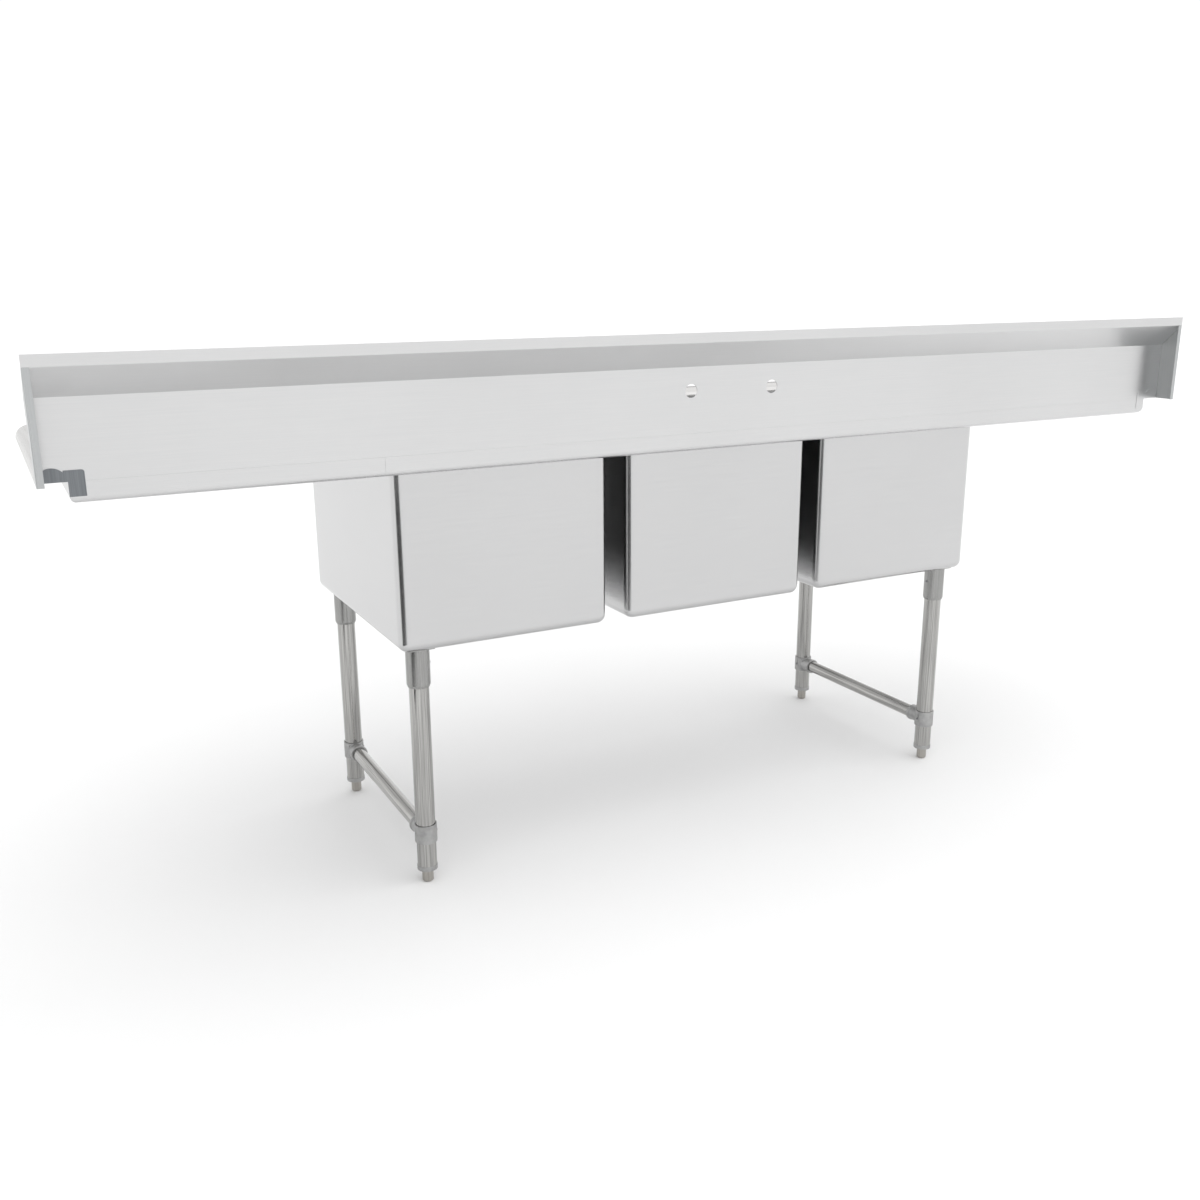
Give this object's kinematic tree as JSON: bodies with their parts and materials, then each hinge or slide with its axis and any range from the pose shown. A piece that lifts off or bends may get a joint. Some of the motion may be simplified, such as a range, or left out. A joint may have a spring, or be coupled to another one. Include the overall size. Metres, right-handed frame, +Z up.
{
  "type": "three compartment sink",
  "caption": "Long stainless commercial sink: deep bowls in a row between two drainboards, high splash, rolled rim, braced tubular legs with adjustable feet.",
  "frame": {"origin": "on the floor under the middle of the overall box", "axes": "+X along the length to the user's right, +Y towards the wall behind the splash, +Z up"},
  "size_m": [2.6924, 0.7494, 1.127],
  "materials": {
    "sheet_steel": "brushed sheet, fine grain along the length",
    "ground_steel": "ground weld patch, blue-grey",
    "rim_steel": "polished roll, grain along the rim",
    "leg_steel": "drawn tube, satin, grain along the tube",
    "cast_fitting": "matt die-cast surface",
    "foot_steel": "turned steel",
    "screw_steel": "plated socket screw",
    "drain_steel": "polished drain body",
    "basket_steel": "pressed strainer",
    "gasket_rubber": "moulded black rubber"
  },
  "bodies": {
    "root": {"backsplash_panel": "sheet_steel", "bowl_deck": "sheet_steel", "drainboard_left": "sheet_steel", "drainboard_right": "sheet_steel", "splash_end_cap_left": "sheet_steel", "splash_end_cap_right": "sheet_steel", "bowl_left": "sheet_steel", "bowl_center": "sheet_steel", "bowl_right": "sheet_steel", "rim_closing_plate_left": "ground_steel", "rim_closing_plate_right": "ground_steel", "rolled_rim_front": "rim_steel", "rolled_rim_left": "rim_steel", "rolled_rim_right": "rim_steel", "rim_corner_left": "rim_steel", "rim_corner_right": "rim_steel", "leg_mount_plates": "leg_steel", "leg_tube_front_left": "leg_steel", "leg_tube_rear_left": "leg_steel", "leg_tube_front_right": "leg_steel", "leg_tube_rear_right": "leg_steel", "cross_brace_left": "leg_steel", "cross_brace_right": "leg_steel", "leg_socket_front_left": "cast_fitting", "leg_socket_rear_left": "cast_fitting", "leg_socket_front_right": "cast_fitting", "leg_socket_rear_right": "cast_fitting", "brace_fitting_front_left": "cast_fitting", "brace_fitting_rear_left": "cast_fitting", "brace_fitting_front_right": "cast_fitting", "brace_fitting_rear_right": "cast_fitting", "foot_insert_front_left": "cast_fitting", "foot_insert_rear_left": "cast_fitting", "foot_insert_front_right": "cast_fitting", "foot_insert_rear_right": "cast_fitting", "socket_set_screws": "screw_steel", "brace_fitting_set_screws": "screw_steel", "drain_body_left": "drain_steel", "drain_body_center": "drain_steel", "drain_body_right": "drain_steel", "drain_locknut_left": "drain_steel", "drain_locknut_center": "drain_steel", "drain_locknut_right": "drain_steel", "drain_gasket_left": "gasket_rubber", "drain_gasket_center": "gasket_rubber", "drain_gasket_right": "gasket_rubber"},
    "foot_front_left": {"adjustable_foot_front_left": "foot_steel"},
    "foot_rear_left": {"adjustable_foot_rear_left": "foot_steel"},
    "foot_front_right": {"adjustable_foot_front_right": "foot_steel"},
    "foot_rear_right": {"adjustable_foot_rear_right": "foot_steel"},
    "basket_left": {"strainer_basket_left": "basket_steel"},
    "basket_center": {"strainer_basket_center": "basket_steel"},
    "basket_right": {"strainer_basket_right": "basket_steel"}
  },
  "joints": [
    {"name": "foot_front_left_screw", "type": "slide", "parent": "root", "child": "foot_front_left", "axis": [0, 0, -1], "range_m": [0, 0.025]},
    {"name": "foot_rear_left_screw", "type": "slide", "parent": "root", "child": "foot_rear_left", "axis": [0, 0, -1], "range_m": [0, 0.025]},
    {"name": "foot_front_right_screw", "type": "slide", "parent": "root", "child": "foot_front_right", "axis": [0, 0, -1], "range_m": [0, 0.025]},
    {"name": "foot_rear_right_screw", "type": "slide", "parent": "root", "child": "foot_rear_right", "axis": [0, 0, -1], "range_m": [0, 0.025]},
    {"name": "basket_left_lift", "type": "slide", "parent": "root", "child": "basket_left", "axis": [0, 0, 1], "range_m": [0, 0.5]},
    {"name": "basket_center_lift", "type": "slide", "parent": "root", "child": "basket_center", "axis": [0, 0, 1], "range_m": [0, 0.5]},
    {"name": "basket_right_lift", "type": "slide", "parent": "root", "child": "basket_right", "axis": [0, 0, 1], "range_m": [0, 0.5]}
  ]
}
